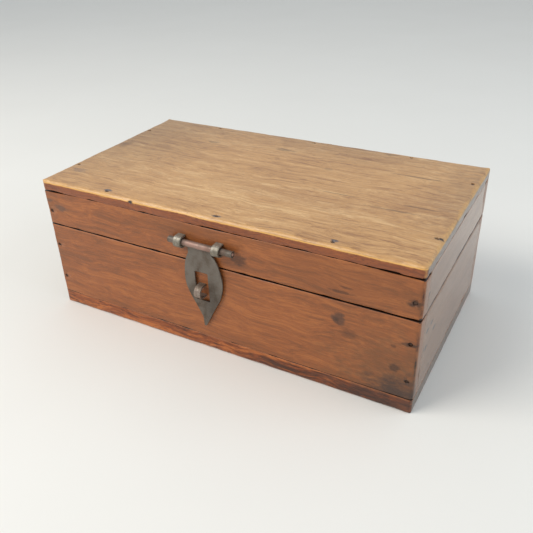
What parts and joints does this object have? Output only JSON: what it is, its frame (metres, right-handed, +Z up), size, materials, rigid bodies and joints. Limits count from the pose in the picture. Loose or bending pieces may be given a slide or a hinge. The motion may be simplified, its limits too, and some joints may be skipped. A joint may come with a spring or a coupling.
{
  "type": "desk letter box",
  "caption": "Rectangular wooden box for letters and papers, with a hinged lid shut by a leaf-shaped sheet iron hasp over a strap staple.",
  "frame": {"origin": "under the middle of the base, on the face that rests on the desk", "axes": "+X along the front to the right, +Y from the front to the back, +Z up; the hasp hangs on the -Y face"},
  "size_m": [0.33, 0.1951, 0.122],
  "materials": {
    "base_wood": "pale worn softwood, waxed",
    "front_wood": "reddish brown worn softwood, waxed",
    "back_wood": "reddish brown worn softwood, waxed",
    "end_wood": "brown worn softwood, waxed",
    "top_wood": "golden brown worn softwood, waxed",
    "sheet_iron": "old dull sheet iron with brown patina",
    "strap_iron": "old dull strap iron, rubbed bright on its rims",
    "rod_iron": "rubbed iron",
    "hinge_iron": "old dull iron",
    "screw_iron": "old dull iron",
    "nail_iron": "rusted iron, almost black"
  },
  "bodies": {
    "box": {"base_board": "base_wood", "body_front": "front_wood", "body_back": "back_wood", "body_left": "end_wood", "body_right": "end_wood", "staple_eye": "strap_iron", "hinge_left_lower": "hinge_iron", "hinge_left_pin": "rod_iron", "hinge_right_lower": "hinge_iron", "hinge_right_pin": "rod_iron", "hinge_lower_screws": "screw_iron", "body_corner_nails": "nail_iron", "base_nails": "nail_iron"},
    "lid": {"lid_top": "top_wood", "lid_front": "front_wood", "lid_back": "back_wood", "lid_left": "end_wood", "lid_right": "end_wood", "hasp_eye_left": "strap_iron", "hasp_eye_right": "strap_iron", "hinge_left_upper": "hinge_iron", "hinge_right_upper": "hinge_iron", "hinge_upper_screws": "screw_iron", "lid_corner_nails": "nail_iron", "lid_top_nails": "nail_iron"},
    "hasp": {"hasp_leaf": "sheet_iron", "hasp_rod": "rod_iron"}
  },
  "joints": [
    {"name": "lid_open", "type": "hinge", "parent": "box", "child": "lid", "pos_m": [0, 0.09305, 0.081], "axis": [-1, 0, 0], "range_deg": [0, 110]},
    {"name": "hasp_swing", "type": "hinge", "parent": "lid", "child": "hasp", "pos_m": [-0.0048, -0.0937, 0.0984], "axis": [-1, 0, 0], "range_deg": [0, 188]}
  ]
}
